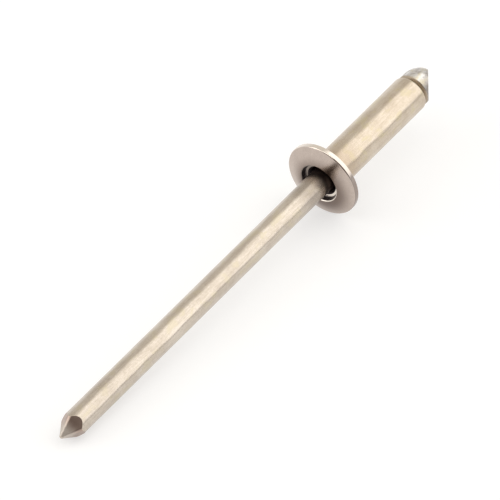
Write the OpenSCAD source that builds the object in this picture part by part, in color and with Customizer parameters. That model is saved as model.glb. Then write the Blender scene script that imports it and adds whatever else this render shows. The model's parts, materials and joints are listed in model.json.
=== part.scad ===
// Open-end blind rivet (pop rivet) with a protruding dome head, before setting. All stainless.
// It is made of two pieces: a hollow rivet body with a flange, and the pull mandrel through it.
//
// Both pieces are turned about Z. Zero is the underside of the flange, the tail end is at +Z
// and the pull point at -Z. lay_down() then puts them the way a loose rivet comes to rest, on
// the rim of its flange and on its pull point, with +X towards the tail and the floor at zero.
// What faced +X then faces up, so the seams of the turned faces lie on top, off the floor.

/* [Rivet body] */
// Outside diameter of the hollow shank
body_d = 3.2; // [2.7:0.05:4.4]
// Length of the shank, from the underside of the flange to the tail
body_len = 12; // [6:0.5:30]
// Radius of the rounded outer edge at the tail
tail_round = 0.28; // [0.1:0.02:0.3]
// Gap all round between the mandrel and the bore
bore_gap = 0.05; // [0.03:0.01:0.1]

/* [Flange] */
// Diameter of the flange
flange_d = 6.7; // [5.6:0.1:10]
// Height of the head, from its underside to the lip of the mouth
head_h = 0.93; // [0.85:0.01:1.3]
// Thickness of the flange at its rim
rim_t = 0.45; // [0.35:0.01:0.55]
// Radius that rounds the rim into the dome
rim_round = 0.14; // [0.08:0.02:0.2]
// Radius that rounds the rim into the underside
rim_back_round = 0.06; // [0.02:0.01:0.1]
// Radius that rounds the underside into the shank
neck_round = 0.15; // [0.05:0.05:0.3]

/* [Mouth of the bore] */
// Width of the mouth, from the bore to the lip
mouth_w = 0.63; // [0.6:0.01:0.85]
// Depth of the mouth, from the lip to its ledge
mouth_depth = 0.43; // [0.3:0.01:0.55]
// How far the wall of the mouth closes in by its foot
mouth_draft = 0.14; // [0.06:0.02:0.2]
// Width of the throat between the edge of the ledge and the bore
throat_w = 0.29; // [0.15:0.01:0.35]
// Depth of the throat
throat_depth = 0.35; // [0.2:0.05:0.5]
// Width of the bevel on the lip
lip_bevel = 0.08; // [0.04:0.02:0.12]

/* [Mandrel] */
// Diameter of the mandrel
mandrel_d = 2.15; // [1.6:0.05:2.6]
// Length of mandrel that stands out of the head, to the end of the point
pull_len = 34.6; // [24:0.1:60]
// Diameter at the break neck
neck_d = 1.55; // [1.2:0.05:1.55]
// Width of the break neck where it meets the full diameter
neck_w = 0.6; // [0.3:0.05:1]
// Depth of the break neck in the bore, from the tail
neck_depth = 1.1; // [0.8:0.1:3]

/* [Pull point] */
// Slope of each of the four pinched flats, from the axis
point_angle = 26.5; // [18:0.5:40]
// Width of the blunt end of the point
point_blunt = 0.26; // [0.1:0.02:0.5]
// Turn of the first flat, from straight up towards -Y
point_turn = 33; // [0:1:90]

/* [Mandrel head] */
// How far the head stands in from the outside of the shank
head_inset = 0.11; // [0.04:0.01:0.16]
// Slope of the seat under the head, from square
seat_angle = 34; // [20:1:45]
// Gap between the seat and the edge of the bore
seat_gap = 0.02; // [0.01:0.01:0.05]
// Length of the straight band, from the tail of the shank
band_len = 0.8; // [0.5:0.02:1]
// Length of the whole head, from the tail of the shank
nose_len = 2.5; // [2:0.1:3.4]
// Radius of the blunt end of the nose
nose_end_r = 0.65; // [0.4:0.05:0.9]
// Slope of the sheared flat across the nose, from square
shear_angle = 54; // [30:1:58]
// Height at which the sheared flat crosses the axis, from the tail of the shank
shear_h = 2.44; // [1.8:0.02:2.46]
// Turn of the sheared flat, from straight up towards -Y
shear_turn = 91; // [0:1:180]

/* [Hidden] */
$fn = 96;

body_r = body_d / 2;
flange_r = flange_d / 2;
mandrel_r = mandrel_d / 2;
bore_r = mandrel_r + bore_gap;
wall = body_r - bore_r;
tail_r = min(tail_round, 0.6 * wall); // the rounding leaves a flat end on a thin wall
over = 1; // how far a cutter runs past what it cuts
seam_turn = 3.1; // half a facet of the rim in the mesh, which then rests on a flat, not a corner

// The mouth of the bore, as radii and heights
lip_r = bore_r + mouth_w;
inner_r = bore_r + throat_w;
ledge_z = mouth_depth - head_h;
throat_z = ledge_z + throat_depth;

// The dome is a sphere that ends at the lip and rounds into the rim. Its centre is dome_z above
// the underside, on the axis, so that it passes the lip and the sharp corner of the rim.
dome_z = (flange_r * flange_r - lip_r * lip_r + rim_t * rim_t - head_h * head_h)
    / (2 * (head_h - rim_t));
dome_r = sqrt(lip_r * lip_r + pow(dome_z + head_h, 2));
// The rim's rounding touches both the sphere and the side of the rim
rim_r = flange_r - rim_round;
rim_z = dome_z - sqrt(pow(dome_r - rim_round, 2) - rim_r * rim_r);
touch_r = rim_r * dome_r / (dome_r - rim_round);

// The mandrel, as heights along the axis
tip_z = -head_h - pull_len;
neck_z = body_len - neck_depth;
head_r = body_r - head_inset;
band_z = body_len + (head_r - bore_r) * tan(seat_angle) + seat_gap;
seat_z = band_z - (head_r - mandrel_r) * tan(seat_angle);
nose_z = body_len + nose_len;
// The nose is an arc that leaves the band straight and meets the blunt end
arc_h = nose_len - band_len;
arc_in = head_r - nose_end_r;
arc_r = (arc_h * arc_h + arc_in * arc_in) / (2 * arc_in);

// At rest the lowest flat of the point is point_off from straight down, and the mandrel touches
// the floor where that flat runs out into its full diameter, at floor_z along the axis.
point_off = abs(((point_turn + 45) % 90) - 45);
floor_z = tip_z + (mandrel_r * cos(point_off) - point_blunt / 2) / tan(point_angle);
rise = rim_r - mandrel_r;
run = rim_z - floor_z;
rest_tilt = atan(rise / run) + asin(rim_round / sqrt(rise * rise + run * run));
rest_h = mandrel_r * cos(rest_tilt) - floor_z * sin(rest_tilt);
rest_x = -(tip_z + nose_z) / 2 * cos(rest_tilt);

module lay_down() {
    translate([rest_x, 0, rest_h]) rotate([0, 90 - rest_tilt, 0]) rotate([0, 0, 180]) children();
}

// Turns a feature that faces +X, and so up as the rivet lies, by a turn towards -Y
module face_turn(turn) {
    rotate([0, 0, turn]) children();
}

// Half of the flange's section: the rim with its two roundings, and the cap of the sphere
module flange_section() {
    translate([0, rim_z]) square([flange_r, -rim_z - rim_back_round]);
    translate([0, rim_z]) square([flange_r - rim_back_round, -rim_z]);
    translate([flange_r - rim_back_round, -rim_back_round]) circle(r = rim_back_round);
    translate([rim_r, rim_z]) circle(r = rim_round);
    intersection() {
        translate([0, dome_z]) circle(r = dome_r);
        translate([0, -2 * head_h]) square([touch_r, 2 * head_h]);
    }
}

// Half of the shank's section, with the fillet under the flange and the rounded tail
module shank_section() {
    square([body_r, body_len - tail_r]);
    square([body_r - tail_r, body_len]);
    translate([body_r - tail_r, body_len - tail_r]) circle(r = tail_r);
    difference() {
        square([body_r + neck_round, neck_round]);
        translate([body_r + neck_round, neck_round]) circle(r = neck_round);
    }
}

// The bore with its stepped mouth: lip bevel, steep wall, ledge, throat and straight bore
module bore_section() {
    polygon([
        [-over, -head_h - over],
        [lip_r + lip_bevel + over, -head_h - over],
        [lip_r, -head_h + lip_bevel],
        [lip_r - mouth_draft, ledge_z],
        [inner_r, ledge_z],
        [bore_r, throat_z],
        [bore_r, body_len + over],
        [-over, body_len + over],
    ]);
}

module rivet_body() {
    color([0.8, 0.77, 0.7])
    lay_down()
    face_turn(seam_turn)
    rotate_extrude() difference() {
        union() {
            flange_section();
            shank_section();
        }
        bore_section();
    }
}

// Half of the mandrel's section: shank with its break neck, seat, band and nose
module mandrel_section() {
    difference() {
        translate([0, tip_z]) square([mandrel_r, seat_z - tip_z + over / 2]);
        polygon([
            [neck_d / 2, neck_z],
            [mandrel_r + over, neck_z - neck_w / 2 * (1 + over / (mandrel_r - neck_d / 2))],
            [mandrel_r + over, neck_z + neck_w / 2 * (1 + over / (mandrel_r - neck_d / 2))],
        ]);
    }
    polygon([
        [0, seat_z],
        [mandrel_r, seat_z],
        [head_r, band_z],
        [head_r, body_len + band_len],
        [0, body_len + band_len],
    ]);
    intersection() {
        translate([head_r - arc_r, body_len + band_len]) circle(r = arc_r);
        translate([0, body_len + band_len]) square([head_r, arc_h]);
    }
}

// The four flats that pinched the wire off to a point
module point_flats() {
    block = 4 * mandrel_d;
    for (side = [0:3])
        face_turn(point_turn + 90 * side)
        translate([point_blunt / 2, 0, tip_z])
        rotate([0, point_angle, 0])
        translate([0, -block / 2, -block / 2]) cube(block);
}

// The flat that sheared the nose off at a slant
module shear_flat() {
    block = 4 * head_r;
    face_turn(shear_turn)
    translate([0, 0, body_len + shear_h])
    rotate([0, shear_angle, 0])
    translate([-block / 2, -block / 2, 0]) cube(block);
}

module mandrel() {
    color([0.77, 0.75, 0.71])
    lay_down()
    difference() {
        rotate_extrude() mandrel_section();
        point_flats();
        shear_flat();
    }
}

rivet_body();
mandrel();
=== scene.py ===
"""Looks of an unset blind rivet: a flanged hollow body on its pull mandrel, all stainless."""

import json
import logging
import math
from dataclasses import dataclass, field
from enum import Enum
from typing import Any, Union

import bmesh
import bpy
from bpy.types import Material, Node, NodeSocket, NodeTree, Object
from mathutils import Euler, Matrix, Vector


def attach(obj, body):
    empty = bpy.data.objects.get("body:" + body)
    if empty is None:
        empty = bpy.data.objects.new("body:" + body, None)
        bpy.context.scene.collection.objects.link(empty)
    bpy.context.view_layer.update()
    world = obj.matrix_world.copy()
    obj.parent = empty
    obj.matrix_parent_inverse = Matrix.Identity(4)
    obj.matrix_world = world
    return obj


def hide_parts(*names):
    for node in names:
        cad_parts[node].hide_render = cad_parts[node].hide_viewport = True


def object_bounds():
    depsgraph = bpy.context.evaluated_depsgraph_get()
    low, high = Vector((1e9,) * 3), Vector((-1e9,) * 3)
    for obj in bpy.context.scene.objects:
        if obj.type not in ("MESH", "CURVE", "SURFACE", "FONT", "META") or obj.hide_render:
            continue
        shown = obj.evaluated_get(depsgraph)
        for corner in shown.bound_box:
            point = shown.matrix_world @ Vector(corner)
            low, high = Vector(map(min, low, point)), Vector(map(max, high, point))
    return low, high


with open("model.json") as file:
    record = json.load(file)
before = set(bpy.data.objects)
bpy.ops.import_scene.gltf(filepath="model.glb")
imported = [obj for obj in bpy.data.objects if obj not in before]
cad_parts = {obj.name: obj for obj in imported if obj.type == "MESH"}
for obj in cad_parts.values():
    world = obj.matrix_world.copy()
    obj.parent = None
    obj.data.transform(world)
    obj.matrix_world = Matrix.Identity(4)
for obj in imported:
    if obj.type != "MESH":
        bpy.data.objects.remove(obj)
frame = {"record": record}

CAD_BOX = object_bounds()
MM = 0.001
ROUND = math.tau
QUARTER = math.pi / 2
QUARTER_DEGREES = 90

# Places of a colour Mix node's sockets, which share their names with those of its other kinds.
MIX_SHARE, MIX_FIRST, MIX_SECOND, MIX_RESULT = 0, 6, 7, 2

# Distances in millimetres within which points count as one, or as lying on the plane of a cut.
MERGED = 1e-4
ON_THE_CUT = 1e-5

POINT_FLATS = 4
FLAT_EDGE_STEPS = 3

# Shading: the turn from which an edge is sharp, and the full weight of a face's size.
SHARP_FROM_DEGREES = 22
LARGE_FACES_FIRST = 100

log = logging.getLogger("blind_rivet")


# ---------------------------------------------------------------- shader maths


class Value:
    """A shader socket that takes part in Python arithmetic and adds Math nodes as it does."""

    def __init__(self, graph: "Graph", socket: NodeSocket) -> None:
        """Wraps a socket.

        Args:
            graph: The graph that new Math nodes go to.
            socket: The output socket that carries the value.
        """
        self.graph = graph
        self.socket = socket

    def maths(self, operation: str, *terms: "Term") -> "Value":
        """Adds one Math node.

        Args:
            operation: The Math node's operation.
            terms: Its inputs in order, as values or numbers.

        Returns:
            The node's result.
        """
        inputs = {n: term for n, term in enumerate(terms)}
        return self.graph.add("ShaderNodeMath", {"operation": operation}, inputs)["Value"]

    def __add__(self, other: "Term") -> "Value":
        """The sum."""
        return self.maths("ADD", self, other)

    __radd__ = __add__

    def __sub__(self, other: "Term") -> "Value":
        """The difference."""
        return self.maths("SUBTRACT", self, other)

    def __rsub__(self, other: "Term") -> "Value":
        """The difference from a number on the left."""
        return self.maths("SUBTRACT", other, self)

    def __mul__(self, other: "Term") -> "Value":
        """The product."""
        return self.maths("MULTIPLY", self, other)

    __rmul__ = __mul__

    def __pow__(self, other: "Term") -> "Value":
        """The power."""
        return self.maths("POWER", self, other)

    def __rpow__(self, other: "Term") -> "Value":
        """The power of a number on the left."""
        return self.maths("POWER", other, self)

    def between(self, low: float, high: float) -> "Value":
        """A smooth step.

        Args:
            low: The value at which the step starts, as 0.
            high: The value at which it ends, as 1.

        Returns:
            The step, from 0 to 1.
        """
        settings = {"interpolation_type": "SMOOTHSTEP"}
        inputs = {"Value": self, "From Min": low, "From Max": high}
        return self.graph.add("ShaderNodeMapRange", settings, inputs)["Result"]


Term = Union[Value, float]
Colour = tuple[float, float, float]
Direction = tuple[float, float, float]


class Outputs:
    """The outputs of one node, by name."""

    def __init__(self, graph: "Graph", node: Node) -> None:
        """Holds a node.

        Args:
            graph: The graph that the node is in.
            node: The node.
        """
        self.graph = graph
        self.node = node

    def __getitem__(self, name: Union[str, int]) -> Value:
        """One output, as a value."""
        return Value(self.graph, self.node.outputs[name])


@dataclass(frozen=True)
class Pattern:
    """A noise: its features per unit, how many finer layers it has and how strong those are."""

    scale: float
    layers: float = 2.0
    rough: float = 0.5


class Graph:
    """A node tree that is filled one node at a time."""

    def __init__(self, tree: NodeTree) -> None:
        """Empties a tree.

        Args:
            tree: The node tree of a material or of the world.
        """
        self.tree = tree
        tree.nodes.clear()

    def add(self, kind: str, settings: dict[str, Any], inputs: dict[Any, Any]) -> Outputs:
        """Adds a node.

        Args:
            kind: The node's type.
            settings: Its own settings, which are set first.
            inputs: A number, colour, vector or value for each socket, by name or place.

        Returns:
            The node's outputs.
        """
        node = self.tree.nodes.new(kind)
        for name, setting in settings.items():
            setattr(node, name, setting)
        for name, term in inputs.items():
            if isinstance(term, Value):
                self.tree.links.new(term.socket, node.inputs[name])
            else:
                node.inputs[name].default_value = term
        return Outputs(self, node)

    def noise(self, place: Value, pattern: Pattern) -> Value:
        """Smooth noise.

        Args:
            place: Where it is read.
            pattern: How fine and how rough it is.

        Returns:
            The noise, around 0.5.
        """
        inputs = {
            "Vector": place,
            "Scale": pattern.scale,
            "Detail": pattern.layers,
            "Roughness": pattern.rough,
        }
        return self.add("ShaderNodeTexNoise", {"noise_dimensions": "3D"}, inputs)["Fac"]

    def stretched(self, place: Value, along: float, across: float) -> Value:
        """Coordinates that run at one rate along the rivet and at another across it.

        Args:
            place: The coordinates, with X along the rivet.
            along: The rate along it.
            across: The rate across it.

        Returns:
            The new coordinates.
        """
        settings = {"operation": "MULTIPLY"}
        rates = (along, across, across)
        return self.add("ShaderNodeVectorMath", settings, {0: place, 1: rates})["Vector"]

    def mixed(self, share: Term, first: Any, second: Any) -> Value:
        """A mix of two colours.

        Args:
            share: The second one's share.
            first: The first colour.
            second: The second colour.

        Returns:
            The mixed colour.
        """
        ends = [c if isinstance(c, Value) else (*c, 1.0) for c in (first, second)]
        inputs = {MIX_SHARE: share, MIX_FIRST: ends[0], MIX_SECOND: ends[1]}
        return self.add("ShaderNodeMix", {"data_type": "RGBA"}, inputs)[MIX_RESULT]


# ---------------------------------------------------------------- where the rivet lies


@dataclass(frozen=True)
class Lie:
    """How the rivet lies: its axis, and the point on it in the plane of the flange's underside."""

    seat: Vector
    along: Vector

    @classmethod
    def from_record(cls, record: dict[str, Any]) -> "Lie":
        """Reads the axis from the shank's mount and the plane from the head seat's.

        Args:
            record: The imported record.

        Returns:
            The lie.
        """
        mounts = {mount["name"]: mount for mount in record["mounts"]}
        along = Vector(mounts["shank"]["axis"]).normalized()
        middle = Vector(mounts["shank"]["pos_m"])
        back = (Vector(mounts["head_seat"]["pos_m"]) - middle).dot(along)
        return cls(seat=middle + along * back, along=along)

    @property
    def tilt(self) -> float:
        """The axis's rise from the floor, in radians."""
        return math.asin(self.along.z)

    @property
    def placing(self) -> Matrix:
        """Takes a piece turned about Z in millimetres, with +X up, to its place in metres."""
        lean = Matrix.Rotation(QUARTER - self.tilt, 4, "Y") @ Matrix.Rotation(math.pi, 4, "Z")
        return Matrix.Translation(self.seat) @ lean @ Matrix.Scale(MM, 4)

    def coordinates(self, graph: Graph) -> Value:
        """Object coordinates in millimetres, with X along the rivet from the seat plane.

        Args:
            graph: The graph of the material.

        Returns:
            The coordinates.
        """
        place = graph.add("ShaderNodeTexCoord", {}, {})["Object"]
        turn = Euler((0.0, self.tilt, 0.0))
        inputs = {
            "Vector": place,
            "Location": -(turn.to_matrix() @ self.seat) / MM,
            "Rotation": turn,
            "Scale": (1 / MM, 1 / MM, 1 / MM),
        }
        return graph.add("ShaderNodeMapping", {"vector_type": "POINT"}, inputs)["Vector"]


# ---------------------------------------------------------------- finishes, with painted shade and highlights


class Grain(Enum):
    """The way that a surface's fine lines run, as rates along the rivet and across it."""

    LENGTHWISE = (0.28, 4.5)
    ALL_WAYS = (2.2, 2.2)
    ACROSS = (7.0, 1.0)


LINES = Pattern(1.0, 3.0, 0.62)
FINE_LINES = Pattern(4.0, 2.0, 0.6)
CLOUDS = Pattern(0.75)
SPECKS = Pattern(5.0, 2.0, 0.65)
PATCHES = Pattern(1.0, 2.0, 0.6)
SWELLS = Pattern(1.0, 1.0)

# Rates of the patches and the swells, along the rivet and across it, per millimetre.
PATCH_RATES = (0.8, 1.3)
SWELL_RATES = (0.4, 0.9)

# How the noises join into the marks on the steel, the edge of a stain and the relief.
NOISE_MIDDLE = 0.5
FINE_SHARE = 0.5
SPECK_SHARE = 0.8
MARK_LEVEL = 0.3
PATCH_EDGE = (0.5, 0.66)
LINE_RELIEF, FINE_RELIEF, SPECK_RELIEF = 0.6, 0.25, 0.15


@dataclass(frozen=True)
class PaintedShading:
    """A stretch in millimetres, along the axis or out from it, that ends in the painted shading
    colour: painted shade, or painted light where that colour is lighter.
    """

    clean: float
    dull: float
    strength: float


@dataclass(frozen=True)
class SteelFinish:
    """A stainless finish: its colours, its gloss, how marked it is, and where painted shade or
    light is mixed into its colour.
    """

    name: str
    bright: Colour
    dull: Colour
    grain: Grain
    gloss: tuple[float, float]
    lines: float
    mottle: float
    bump: float
    wave: float = 0.0
    stain: Colour = (0.55, 0.49, 0.38)
    stained: float = 0.0
    # Painted shading: the colour it ends in, its stretches along the axis and out from a centre,
    # and that centre in Y and Z.
    painted_shading_colour: Colour = (0.20, 0.16, 0.14)
    painted_along: tuple[PaintedShading, ...] = ()
    painted_rings: tuple[PaintedShading, ...] = ()
    painted_centre: tuple[float, float] = (0.0, 0.0)

    def material(self, lie: Lie) -> Material:
        """Makes the finish's material.

        Args:
            lie: How the rivet lies, which gives the lines their direction.

        Returns:
            The material.
        """
        made = bpy.data.materials.new(self.name)
        made.use_nodes = True
        graph = Graph(made.node_tree)
        place = lie.coordinates(graph)
        split = graph.add("ShaderNodeSeparateXYZ", {}, {"Vector": place})
        aside, above = split["Y"] - self.painted_centre[0], split["Z"] - self.painted_centre[1]
        along, out = split["X"], (aside * aside + above * above) ** 0.5
        lines = graph.noise(graph.stretched(place, *self.grain.value), LINES)
        fine = graph.noise(graph.stretched(place, *self.grain.value), FINE_LINES)
        cloud = graph.noise(place, CLOUDS)
        speck = graph.noise(place, SPECKS)
        mark = (lines - NOISE_MIDDLE) * self.lines
        mark = mark + (fine - NOISE_MIDDLE) * self.lines * FINE_SHARE
        mark = mark + (cloud - NOISE_MIDDLE) * self.mottle
        mark = mark + (speck - NOISE_MIDDLE) * self.mottle * SPECK_SHARE + MARK_LEVEL
        # Painted shading: the share of the painted shading colour, which also roughens the steel.
        painted_share: Term = 0.0
        for measured, painted_along in ((along, self.painted_along), (out, self.painted_rings)):
            for painted_stretch in painted_along:
                painted_share = measured.between(painted_stretch.clean, painted_stretch.dull) * painted_stretch.strength + painted_share
        patches = graph.noise(graph.stretched(place, *PATCH_RATES), PATCHES)
        steel = graph.mixed(mark, self.bright, self.dull)
        steel = graph.mixed(patches.between(*PATCH_EDGE) * self.stained, steel, self.stain)
        low, high = self.gloss
        swell = graph.noise(graph.stretched(place, *SWELL_RATES), SWELLS)
        relief = lines * LINE_RELIEF + fine * FINE_RELIEF + speck * SPECK_RELIEF
        height = relief * self.bump + swell * self.wave
        bump = graph.add(
            "ShaderNodeBump", {}, {"Strength": 1.0, "Distance": MM, "Height": height}
        )
        shader = graph.add(
            "ShaderNodeBsdfPrincipled",
            {},
            {
                "Base Color": graph.mixed(painted_share, steel, self.painted_shading_colour),
                "Metallic": 1.0,
                "Roughness": (mark + painted_share) * (high - low) + low,
                "Normal": bump["Normal"],
            },
        )
        graph.add("ShaderNodeOutputMaterial", {}, {"Surface": shader["BSDF"]})
        return made


# Headed flange: colours set below the other steel, and a ring that darkens it towards the mouth,
# off-centre downwards and towards -Y. Both are painted shade for the shadowed floor that the dome
# mirrors.
HEADED = SteelFinish(
    name="headed_steel",
    bright=(0.56, 0.475, 0.42),
    dull=(0.45, 0.38, 0.34),
    grain=Grain.ALL_WAYS,
    gloss=(0.14, 0.20),
    lines=0.5,
    mottle=0.9,
    bump=0.004,
    wave=0.01,
    painted_shading_colour=(0.22, 0.17, 0.145),
    painted_rings=(PaintedShading(3.1, 1.65, 1.0),),
    painted_centre=(-0.19, -0.29),
)
# Rim of the flange: colours lighter than the other steel are a painted sheen for its bright edge
# line. The ring darkens it downwards and towards -Y as painted shade.
RIM_PAINTED_SHEEN = SteelFinish(
    name="rim_painted_sheen_steel",
    bright=(0.84, 0.76, 0.68),
    dull=(0.66, 0.59, 0.53),
    grain=Grain.ALL_WAYS,
    gloss=(0.12, 0.2),
    lines=0.3,
    mottle=0.5,
    bump=0.003,
    painted_shading_colour=(0.34, 0.285, 0.255),
    painted_rings=(PaintedShading(3.55, 2.95, 1.0),),
    painted_centre=(-0.77, -0.64),
)
DRAWN_TUBE = SteelFinish(
    name="drawn_tube_steel",
    bright=(0.66, 0.575, 0.475),
    dull=(0.46, 0.375, 0.285),
    grain=Grain.LENGTHWISE,
    gloss=(0.2, 0.3),
    lines=0.9,
    mottle=0.9,
    bump=0.006,
    wave=0.07,
    stain=(0.61, 0.53, 0.37),
    stained=0.7,
    painted_shading_colour=(0.44, 0.33, 0.23),
    # Painted shade: the shank darkens towards the flange, where it meets it.
    painted_along=(PaintedShading(4.0, 0.2, 0.6),),
)
# Lip and ledge of the mouth: colours much lighter than the other steel are a painted highlight,
# kept on the -Y side. The ring darkens them towards +Y and up as painted shade.
LIP_PAINTED_GLINT = SteelFinish(
    name="lip_painted_glint_steel",
    bright=(0.90, 0.82, 0.74),
    dull=(0.74, 0.66, 0.59),
    grain=Grain.ALL_WAYS,
    gloss=(0.12, 0.2),
    lines=0.3,
    mottle=0.5,
    bump=0.003,
    painted_shading_colour=(0.24, 0.205, 0.18),
    painted_rings=(PaintedShading(1.95, 1.3, 1.0),),
    painted_centre=(0.56, 0.2),
)
# Bore and walls of the mouth: near-black steel, painted shade for the deep hollow.
BORE_PAINTED_SHADE = SteelFinish(
    name="bore_painted_shade_steel",
    bright=(0.12, 0.10, 0.10),
    dull=(0.05, 0.04, 0.042),
    grain=Grain.ACROSS,
    gloss=(0.3, 0.45),
    lines=0.6,
    mottle=0.6,
    bump=0.006,
)
DRAWN_WIRE = SteelFinish(
    name="drawn_wire_steel",
    bright=(0.65, 0.58, 0.50),
    dull=(0.45, 0.38, 0.31),
    grain=Grain.LENGTHWISE,
    gloss=(0.2, 0.3),
    lines=0.9,
    mottle=0.9,
    bump=0.006,
    wave=0.07,
    stain=(0.60, 0.53, 0.40),
    stained=0.6,
    painted_shading_colour=(0.16, 0.125, 0.11),
    # The first two stretches darken the wire towards and into the mouth as painted shade. The
    # third makes it slightly darker towards the point.
    painted_along=(PaintedShading(-5.0, -2.8, 0.36), PaintedShading(-1.9, -0.8, 0.66), PaintedShading(-24.0, -29.0, 0.07)),
)
# Pinched point: colours darker and browner than the wire are painted shade for the dark room that
# its flats mirror. The last part towards the tip turns lighter, as painted light where that
# reflection ends.
PINCHED = SteelFinish(
    name="pinched_steel",
    bright=(0.47, 0.365, 0.31),
    dull=(0.37, 0.285, 0.24),
    grain=Grain.ACROSS,
    gloss=(0.28, 0.5),
    lines=0.5,
    mottle=0.6,
    bump=0.004,
    wave=0.04,
    painted_shading_colour=(0.66, 0.62, 0.56),
    painted_along=(PaintedShading(-34.15, -35.15, 0.75),),
)
# Seat cone under the mandrel's head: darker steel, painted shade for the gap between the head and
# the rivet's tail.
SEAT_PAINTED_SHADE = SteelFinish(
    name="seat_painted_shade_steel",
    bright=(0.50, 0.42, 0.33),
    dull=(0.34, 0.28, 0.21),
    grain=Grain.ACROSS,
    gloss=(0.35, 0.5),
    lines=0.6,
    mottle=0.6,
    bump=0.006,
)
NOSE = SteelFinish(
    name="nose_steel",
    bright=(0.69, 0.665, 0.64),
    dull=(0.36, 0.325, 0.31),
    grain=Grain.ALL_WAYS,
    gloss=(0.16, 0.3),
    lines=0.8,
    mottle=2.6,
    bump=0.01,
    wave=0.26,
    stain=(0.60, 0.54, 0.40),
    stained=0.8,
    # Painted shade: the ring darkens the nose downwards and towards -Y, for the shadowed floor
    # that its flank mirrors.
    painted_shading_colour=(0.27, 0.245, 0.235),
    painted_rings=(PaintedShading(1.9, 1.1, 0.85),),
    painted_centre=(-1.13, -0.41),
)
SHEARED = SteelFinish(
    name="sheared_steel",
    bright=(0.66, 0.63, 0.59),
    dull=(0.50, 0.47, 0.43),
    grain=Grain.ACROSS,
    gloss=(0.3, 0.42),
    lines=0.8,
    mottle=0.8,
    bump=0.012,
)


class Zone(Enum):
    """A zone of a piece's surface, with its finish. The order is that of the material slots."""

    @property
    def slot(self) -> int:
        """The zone's material slot."""
        return list(type(self)).index(self)


class BodyZone(Zone):
    """The zones of the rivet body."""

    FLANGE = HEADED
    SHANK = DRAWN_TUBE
    BORE = BORE_PAINTED_SHADE
    RIM = RIM_PAINTED_SHEEN
    LIP_AND_LEDGE = LIP_PAINTED_GLINT


class MandrelZone(Zone):
    """The zones of the mandrel."""

    WIRE = DRAWN_WIRE
    POINT = PINCHED
    SHEARED_FLAT = SHEARED
    SEAT = SEAT_PAINTED_SHADE
    NOSE_AND_BAND = NOSE


# ---------------------------------------------------------------- turned pieces


class Turning:
    """A half section, drawn in millimetres as radius and height and then turned about Z."""

    def __init__(self, radius: float, height: float) -> None:
        """Starts the section.

        Args:
            radius: The first point's distance from the axis.
            height: Its height along the axis.
        """
        self.mesh = bmesh.new()
        self.first = self.pen = self.mesh.verts.new((radius, 0.0, height))

    def line(self, radius: float, height: float, steps: int = 1) -> "Turning":
        """Draws a straight line.

        Args:
            radius: Where it ends, from the axis.
            height: Where it ends, along the axis.
            steps: How many stretches it is cut into.

        Returns:
            The same turning.
        """
        start = self.pen.co.copy()
        end = Vector((radius, 0.0, height))
        for step in range(steps):
            grown = bmesh.ops.extrude_vert_indiv(self.mesh, verts=[self.pen])
            self.pen = grown["verts"][0]
            self.pen.co = start.lerp(end, (step + 1) / steps)
        return self

    def arc(self, radius: float, height: float, turn: float, steps: int) -> "Turning":
        """Draws an arc.

        Args:
            radius: Its centre, from the axis.
            height: Its centre, along the axis.
            turn: Its angle in degrees, positive from the radius towards the height.
            steps: How many stretches it is cut into.

        Returns:
            The same turning.
        """
        swept = bmesh.ops.spin(
            self.mesh,
            geom=[self.pen],
            cent=(radius, 0.0, height),
            axis=(0.0, -1.0, 0.0),
            angle=math.radians(turn),
            steps=steps,
            use_merge=False,
            use_duplicate=False,
        )
        self.pen = [v for v in swept["geom_last"] if isinstance(v, bmesh.types.BMVert)][0]
        return self

    def corner(self, at: Vector, beyond: Vector, rounding: float, steps: int) -> "Turning":
        """Draws a line to a corner and rounds it, ready for the next line.

        Args:
            at: The sharp corner, as radius and height.
            beyond: A point on the line that follows it.
            rounding: The radius that rounds it.
            steps: How many stretches the rounding is cut into.

        Returns:
            The same turning.
        """
        came = (at - Vector((self.pen.co.x, self.pen.co.z))).normalized()
        goes = (beyond - at).normalized()
        turn = math.atan2(came.x * goes.y - came.y * goes.x, came.dot(goes))
        start = at - came * rounding * math.tan(abs(turn) / 2)
        side = Vector((-came.y, came.x)) * math.copysign(rounding, turn)
        self.line(start.x, start.y)
        return self.arc(start.x + side.x, start.y + side.y, math.degrees(turn), steps)

    def close(self) -> "Turning":
        """Joins the pen to the first point."""
        self.mesh.edges.new((self.pen, self.first))
        return self

    def turn(self, sides: int) -> bmesh.types.BMesh:
        """Turns the section into a closed solid.

        Args:
            sides: How many sides it gets round the axis.

        Returns:
            The mesh.
        """
        bmesh.ops.spin(
            self.mesh,
            geom=self.mesh.verts[:] + self.mesh.edges[:],
            cent=(0.0, 0.0, 0.0),
            axis=(0.0, 0.0, 1.0),
            angle=ROUND,
            steps=sides,
            use_merge=True,
            use_duplicate=False,
        )
        bmesh.ops.remove_doubles(self.mesh, verts=self.mesh.verts[:], dist=MERGED)
        bmesh.ops.recalc_face_normals(self.mesh, faces=self.mesh.faces[:])
        return self.mesh


def soften(
    mesh: bmesh.types.BMesh, edges: list[bmesh.types.BMEdge], width: float, steps: int
) -> None:
    """Rounds edges.

    Args:
        mesh: The mesh, in millimetres.
        edges: The edges.
        width: How far the rounding reaches on each side.
        steps: How many faces it gets.
    """
    bmesh.ops.bevel(
        mesh,
        geom=edges,
        offset=width,
        offset_type="OFFSET",
        segments=steps,
        profile=0.5,
        affect="EDGES",
        clamp_overlap=True,
        material=-1,
    )


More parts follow.
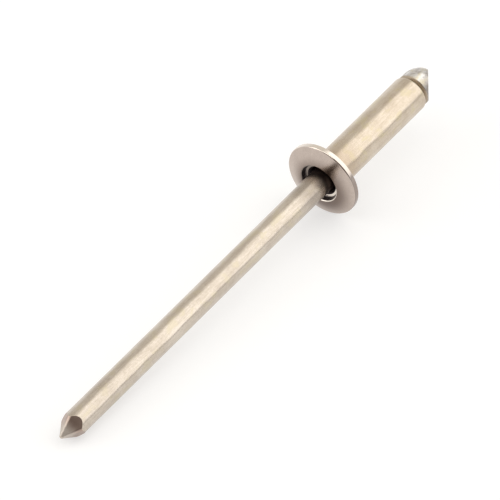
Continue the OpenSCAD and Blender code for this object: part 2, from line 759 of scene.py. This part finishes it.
def cut_flat(
    mesh: bmesh.types.BMesh, point: Vector, outward: Vector, soft: float, zone: Zone
) -> None:
    """Cuts a flat across a closed mesh and softens its edge.

    Args:
        mesh: The mesh, in millimetres.
        point: A point on the flat.
        outward: The way that the flat faces.
        soft: How far the softened edge reaches, or 0 for a sharp one.
        zone: The zone that the flat becomes.
    """
    cut = bmesh.ops.bisect_plane(
        mesh,
        geom=mesh.verts[:] + mesh.edges[:] + mesh.faces[:],
        dist=ON_THE_CUT,
        plane_co=point,
        plane_no=outward,
        clear_outer=True,
        clear_inner=False,
    )
    rim = [e for e in cut["geom_cut"] if isinstance(e, bmesh.types.BMEdge) and e.is_valid]
    for face in bmesh.ops.holes_fill(mesh, edges=rim, sides=0)["faces"]:
        face.material_index = zone.slot
    if soft:
        soften(mesh, rim, soft, FLAT_EDGE_STEPS)


def around(turn: float, slope: float) -> Vector:
    """A direction that faces up and then turns towards -Y as the rivet lies.

    Args:
        turn: The turn from straight up, in degrees.
        slope: How far it then leans towards the pull point, in degrees.

    Returns:
        The direction in the turned piece's own axes.
    """
    turn, slope = math.radians(turn), math.radians(slope)
    level = math.cos(slope)
    return Vector((level * math.cos(turn), level * math.sin(turn), -math.sin(slope)))


def finished_piece(
    name: str, mesh: bmesh.types.BMesh, lie: Lie, zones: type[Zone]
) -> Object:
    """Places a mesh, gives it its finishes and makes it an object.

    Args:
        name: The piece's name.
        mesh: The mesh in millimetres, turned about Z.
        lie: How the rivet lies.
        zones: Its zones, whose finishes fill its material slots in order.

    Returns:
        The object.
    """
    bmesh.ops.transform(mesh, matrix=lie.placing, verts=mesh.verts[:])
    for face in mesh.faces:
        face.smooth = True
    data = bpy.data.meshes.new(name)
    mesh.to_mesh(data)
    mesh.free()
    data.set_sharp_from_angle(angle=math.radians(SHARP_FROM_DEGREES))
    for zone in zones:
        data.materials.append(zone.value.material(lie))
    piece = bpy.data.objects.new(name, data)
    bpy.context.scene.collection.objects.link(piece)
    even = piece.modifiers.new("even_normals", "WEIGHTED_NORMAL")
    even.keep_sharp = True
    even.weight = LARGE_FACES_FIRST
    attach(piece, "root")
    return piece


@dataclass
class RivetBody:
    """The hollow rivet: shank, domed flange, stepped mouth and bore. Sizes in millimetres.

    The last few, from bore_past on, say how far the painted shade of the bore, and the painted
    highlight and shade of the lip and of the ledge, reach past their own edges.
    """

    shank_r: float
    length: float = 12.0
    bore_r: float = 1.125
    tail_round: float = 0.28
    bore_round: float = 0.03
    flange_r: float = 3.345
    head_h: float = 0.93
    rim_t: float = 0.45
    rim_round: float = 0.14
    back_round: float = 0.06
    fillet: float = 0.15
    lip_r: float = 1.755
    lip_round: float = 0.1
    draft: float = 0.14
    mouth_depth: float = 0.43
    foot_round: float = 0.03
    ledge_r: float = 1.415
    ledge_round: float = 0.06
    throat_depth: float = 0.35
    bore_past: float = 0.01
    lip_inside: float = 0.04
    lip_outside: float = 0.05
    lip_down: float = 0.08
    ledge_up: float = 0.05
    ledge_inside: float = 0.02
    sides: int = 192

    def __post_init__(self) -> None:
        """Works out the ledge's height and the dome, a sphere through lip and rim corner."""
        self.ledge_z = self.mouth_depth - self.head_h
        spread = self.flange_r**2 - self.lip_r**2
        rise = self.head_h - self.rim_t
        self.dome_z = (spread + self.rim_t**2 - self.head_h**2) / (2 * rise)
        self.dome_r = math.hypot(self.lip_r, self.dome_z + self.head_h)

    def _section(self) -> Turning:
        """Draws the half section.

        Returns:
            The section, from the throat over the flange to the tail and back.
        """
        slope = math.asin(self.lip_r / self.dome_r)
        lip = Vector((self.lip_r, -self.head_h))
        foot = Vector((self.lip_r - self.draft, self.ledge_z))
        ledge = Vector((self.ledge_r, self.ledge_z))
        over_dome = lip + Vector((math.cos(slope), math.sin(slope)))
        rim_r = self.flange_r - self.rim_round
        inner = self.dome_r - self.rim_round
        rim_z = self.dome_z - math.sqrt(inner**2 - rim_r**2)
        touch = math.degrees(math.asin(rim_r / inner))
        section = Turning(self.bore_r, self.ledge_z + self.throat_depth)
        section.corner(ledge, foot, self.ledge_round, steps=6)
        section.corner(foot, lip, self.foot_round, steps=3)
        section.corner(lip, over_dome, self.lip_round, steps=8)
        begin = math.degrees(math.asin(section.pen.co.x / self.dome_r))
        section.arc(0.0, self.dome_z, touch - begin, steps=20)
        section.arc(rim_r, rim_z, QUARTER_DEGREES - touch, steps=12)
        back, tail = self.back_round, self.tail_round
        section.line(self.flange_r, -back, steps=2)
        section.arc(self.flange_r - back, -back, QUARTER_DEGREES, steps=6)
        section.line(self.shank_r + self.fillet, 0.0, steps=3)
        section.arc(self.shank_r + self.fillet, self.fillet, -QUARTER_DEGREES, steps=8)
        section.line(self.shank_r, self.length - tail, steps=12)
        section.arc(self.shank_r - tail, self.length - tail, QUARTER_DEGREES, steps=12)
        inside = self.bore_r + self.bore_round
        section.line(inside, self.length)
        section.arc(inside, self.length - self.bore_round, QUARTER_DEGREES, steps=3)
        return section.close()

    def _zone_at(self, out: float, height: float) -> BodyZone:
        """The zone that a face is in.

        Args:
            out: The face's distance from the axis.
            height: Its height along the axis.

        Returns:
            The zone. The walls of the mouth count as the bore, and the fillet as the flange.
        """
        if out < self.bore_r + self.bore_past:
            return BodyZone.BORE
        if height >= 0:
            return BodyZone.SHANK if height > self.fillet else BodyZone.FLANGE
        if out < self.lip_r + self.lip_outside:
            lip = out > self.lip_r - self.lip_inside or height < -self.head_h + self.lip_down
            low = height < self.ledge_z + self.ledge_up
            ledge = low and out < self.lip_r - self.draft - self.ledge_inside
            return BodyZone.LIP_AND_LEDGE if lip or ledge else BodyZone.BORE
        side = out > self.flange_r - self.rim_round and height > -self.rim_t
        return BodyZone.RIM if side else BodyZone.FLANGE

    def make(self, lie: Lie) -> Object:
        """Makes the rivet body.

        Args:
            lie: How the rivet lies.

        Returns:
            The piece.
        """
        mesh = self._section().turn(self.sides)
        for face in mesh.faces:
            middle = face.calc_center_median()
            face.material_index = self._zone_at(math.hypot(middle.x, middle.y), middle.z).slot
        piece = finished_piece("hollow_rivet", mesh, lie, BodyZone)
        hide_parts("rivet_body")
        return piece


@dataclass
class PullMandrel:
    """The headed wire: pinched pull point, shank, break neck, seat, band and sheared nose.

    Sizes are in millimetres and angles in degrees. A face of the head belongs to the seat when
    its normal's height is below seat_facing.
    """

    wire_r: float
    head_h: float = 0.93
    body_len: float = 12.0
    pull_len: float = 34.6
    point_angle: float = 26.5
    point_blunt: float = 0.26
    point_turn: float = 33.0
    ridge_r: float = 0.12
    ridge_growth: float = 0.14
    ridge_cuts: int = 8
    neck_r: float = 0.775
    neck_w: float = 0.6
    neck_depth: float = 1.1
    head_r: float = 1.49
    seat_angle: float = 34.0
    seat_gap: float = 0.02
    seat_edge_in: float = 0.03
    seat_edge_under: float = 0.02
    seat_edge_over: float = 0.03
    seat_facing: float = -0.3
    bore_r: float = 1.125
    band_len: float = 0.8
    nose_len: float = 2.5
    nose_end_r: float = 0.65
    shear_angle: float = 54.0
    shear_h: float = 2.44
    shear_turn: float = 91.0
    shear_soft: float = 0.05
    sides: int = 144

    def _section(self) -> Turning:
        """Draws the half section.

        Returns:
            The section, from the end of the point to the end of the nose.
        """
        tip_z = -self.head_h - self.pull_len
        neck_z = self.body_len - self.neck_depth
        slope = math.tan(math.radians(self.seat_angle))
        band_z = self.body_len + (self.head_r - self.bore_r) * slope + self.seat_gap
        seat_z = band_z - (self.head_r - self.wire_r) * slope
        rise = self.nose_len - self.band_len
        inward = self.head_r - self.nose_end_r
        arc_r = (rise**2 + inward**2) / (2 * inward)
        sweep = math.degrees(math.asin(rise / arc_r))
        section = Turning(0.0, tip_z).line(self.wire_r, tip_z)
        section.line(self.wire_r, -self.head_h, steps=24)
        section.line(self.wire_r, neck_z - self.neck_w / 2, steps=6)
        section.line(self.neck_r, neck_z).line(self.wire_r, neck_z + self.neck_w / 2)
        section.line(self.wire_r, seat_z)
        section.line(self.head_r - self.seat_edge_in, band_z - self.seat_edge_under)
        section.line(self.head_r, band_z + self.seat_edge_over)
        section.line(self.head_r, self.body_len + self.band_len, steps=3)
        section.arc(self.head_r - arc_r, self.body_len + self.band_len, sweep, steps=14)
        return section.line(0.0, self.body_len + self.nose_len)

    def _pinch(self, mesh: bmesh.types.BMesh) -> None:
        """Cuts the four flats of the point, and between them the cuts that round its ridges.

        Args:
            mesh: The turned mandrel.
        """
        end = Vector((0.0, 0.0, -self.head_h - self.pull_len))
        growth = self.ridge_growth
        pinch = math.tan(math.radians(self.point_angle))
        apart = QUARTER_DEGREES / self.ridge_cuts
        for cut in range(POINT_FLATS * self.ridge_cuts):
            off = math.radians(apart * (cut % self.ridge_cuts))
            reach = math.cos(off) + math.sin(off)
            turn = self.point_turn + apart * cut
            blunt = (self.point_blunt / 2 - self.ridge_r) * reach + self.ridge_r
            slope = math.degrees(math.atan((pinch - growth) * reach + growth))
            start = end + around(turn, 0.0) * blunt
            cut_flat(mesh, start, around(turn, slope), 0.0, MandrelZone.POINT)

    def make(self, lie: Lie) -> Object:
        """Makes the mandrel.

        Args:
            lie: How the rivet lies.

        Returns:
            The piece.
        """
        mesh = self._section().turn(self.sides)
        self._pinch(mesh)
        crossing = Vector((0.0, 0.0, self.body_len + self.shear_h))
        outward = around(self.shear_turn, self.shear_angle - QUARTER_DEGREES)
        cut_flat(mesh, crossing, outward, self.shear_soft, MandrelZone.SHEARED_FLAT)
        for face in mesh.faces:
            in_head = face.calc_center_median().z > self.body_len
            if in_head and face.material_index == MandrelZone.WIRE.slot:
                seat = face.normal.z < self.seat_facing
                zone = MandrelZone.SEAT if seat else MandrelZone.NOSE_AND_BAND
                face.material_index = zone.slot
        piece = finished_piece("pull_mandrel", mesh, lie, MandrelZone)
        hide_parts("mandrel")
        return piece


# ---------------------------------------------------------------- studio


@dataclass(frozen=True)
class Softbox:
    """A square white lamp that faces the rivet, with its lengths in metres."""

    name: str
    towards: Direction
    size: float
    radiance: float
    distance: float = 0.40

    def light(self, target: Vector) -> None:
        """Hangs the lamp.

        Args:
            target: The point that it faces.
        """
        data = bpy.data.lights.new(self.name, "AREA")
        data.shape = "SQUARE"
        data.size = self.size
        data.energy = self.radiance * math.pi * self.size**2
        lamp = bpy.data.objects.new(self.name, data)
        bpy.context.scene.collection.objects.link(lamp)
        away = Vector(self.towards).normalized()
        lamp.location = target + away * self.distance
        lamp.rotation_euler = away.to_track_quat("Z", "Y").to_euler()
        lamp.visible_camera = False


@dataclass(frozen=True)
class Shade:
    """A dark side of the room: its middle, and the degrees from there at which it fades in."""

    towards: Direction
    outer: float
    inner: float
    depth: float = 1.0


@dataclass
class Studio:
    """A pale floor, soft lamps, and a pale room with dark sides for the steel to mirror.

    The room changes from its low colour to its high one, and the dark sides fade in above the
    floor, over a span of heights from 0 at the horizon to 1 overhead.
    """

    low_room: Colour = (0.96, 0.96, 0.96)
    high_room: Colour = (0.80, 0.77, 0.71)
    room_span: tuple[float, float] = (0.05, 0.5)
    shade: Colour = (0.11, 0.08, 0.065)
    shade_span: tuple[float, float] = (0.03, 0.06)
    shades: tuple[Shade, ...] = (
        Shade((-0.50, -0.70, 0.51), 48.0, 24.0),
        Shade((-0.93, -0.15, 0.26), 38.0, 20.0),
        Shade((0.57, -0.82, 0.02), 16.0, 5.0, 0.42),
    )
    floor_white: float = 0.5
    floor_lift: float = 0.55
    floor_size: float = 1.6
    lamps: list[Softbox] = field(
        default_factory=lambda: [
            Softbox("key_softbox", (0.515, -0.54, 0.66), size=0.52, radiance=0.42),
            Softbox("wide_softbox", (0.48, -0.46, 0.75), size=0.60, radiance=0.36),
            Softbox("back_softbox", (-0.55, 0.65, 0.50), size=0.24, radiance=1.60),
            Softbox("ceiling_softbox", (-0.46, 0.08, 0.88), size=0.22, radiance=1.00),
        ]
    )

    def _build_room(self) -> None:
        """Makes the world, which is the same pale room to the camera as to the steel."""
        world = bpy.data.worlds.new("room")
        world.use_nodes = True
        bpy.context.scene.world = world
        graph = Graph(world.node_tree)
        way = graph.add("ShaderNodeTexCoord", {}, {})["Generated"]
        height = graph.add("ShaderNodeSeparateXYZ", {}, {"Vector": way})["Z"]
        room = graph.mixed(height.between(*self.room_span), self.low_room, self.high_room)
        above = height.between(*self.shade_span)
        for shade in self.shades:
            towards = {0: way, 1: Vector(shade.towards).normalized()}
            facing = graph.add("ShaderNodeVectorMath", {"operation": "DOT_PRODUCT"}, towards)
            outer, inner = (math.cos(math.radians(a)) for a in (shade.outer, shade.inner))
            share = facing["Value"].between(outer, inner) * shade.depth * above
            room = graph.mixed(share, room, self.shade)
        light = graph.add("ShaderNodeBackground", {}, {"Color": room, "Strength": 1.0})
        graph.add("ShaderNodeOutputWorld", {}, {"Surface": light["Background"]})

    def _build_floor(self) -> None:
        """Lays the floor, which keeps the rivet's shadow and is white to camera and steel."""
        mesh = bmesh.new()
        bmesh.ops.create_grid(mesh, x_segments=1, y_segments=1, size=self.floor_size / 2)
        data = bpy.data.meshes.new("floor")
        mesh.to_mesh(data)
        mesh.free()
        paint = bpy.data.materials.new("pale_floor")
        paint.use_nodes = True
        graph = Graph(paint.node_tree)
        white = (self.floor_white,) * 3 + (1.0,)
        matt = graph.add("ShaderNodeBsdfDiffuse", {}, {"Color": white})["BSDF"]
        rays = graph.add("ShaderNodeLightPath", {}, {})
        seen = rays["Is Camera Ray"] + rays["Is Glossy Ray"] + rays["Is Transmission Ray"]
        lift = graph.add("ShaderNodeEmission", {}, {"Strength": seen * self.floor_lift})
        both = graph.add("ShaderNodeAddShader", {}, {0: matt, 1: lift["Emission"]})
        graph.add("ShaderNodeOutputMaterial", {}, {"Surface": both["Shader"]})
        data.materials.append(paint)
        floor = bpy.data.objects.new("floor", data)
        floor.location = (0.0, 0.0, CAD_BOX[0].z)
        bpy.context.scene.collection.objects.link(floor)

    def build(self, target: Vector) -> None:
        """Builds the studio.

        Args:
            target: The point that the lamps face.
        """
        self._build_room()
        self._build_floor()
        for softbox in self.lamps:
            softbox.light(target)


@dataclass(frozen=True)
class Viewpoint:
    """The camera: its angles in degrees, its lengths in metres, lens and sensor in millimetres."""

    azimuth: float = -53.7
    elevation: float = 41.3
    distance: float = 0.65
    lens_mm: float = 594.8
    aim: tuple[float, float, float] = (-0.008311, -0.006247, 0.012051)
    sensor_mm: float = 36.0
    nearest: float = 0.05
    farthest: float = 20.0

    @property
    def back(self) -> Vector:
        """Works out where the camera stands.

        Returns:
            The direction from the rivet to the camera.
        """
        turn, rise = math.radians(self.azimuth), math.radians(self.elevation)
        level = math.cos(rise)
        return Vector((level * math.sin(turn), -level * math.cos(turn), math.sin(rise)))

    def place_camera(self) -> None:
        """Makes the scene's camera."""
        data = bpy.data.cameras.new("camera")
        data.sensor_width = self.sensor_mm
        data.lens = self.lens_mm
        data.clip_start, data.clip_end = self.nearest, self.farthest
        camera = bpy.data.objects.new("camera", data)
        camera.location = Vector(self.aim) + self.back * self.distance
        camera.rotation_euler = self.back.to_track_quat("Z", "Y").to_euler()
        bpy.context.scene.collection.objects.link(camera)
        bpy.context.scene.camera = camera


def main() -> None:
    """Builds the rivet's two pieces, the studio and the camera."""
    logging.basicConfig(level=logging.INFO)
    record = frame["record"]
    lie = Lie.from_record(record)
    radii = {mount["name"]: mount["dims"].get("r_mm") for mount in record["mounts"]}
    rivet_body = RivetBody(shank_r=radii["shank"]).make(lie)
    mandrel = PullMandrel(wire_r=radii["pull_mandrel"]).make(lie)
    for piece in (rivet_body, mandrel):
        log.info("%s: %d faces", piece.name, len(piece.data.polygons))
    Viewpoint().place_camera()
    Studio().build((CAD_BOX[0] + CAD_BOX[1]) / 2)
    bpy.context.scene.view_settings.view_transform = "Standard"


if __name__ == "__main__":
    main()
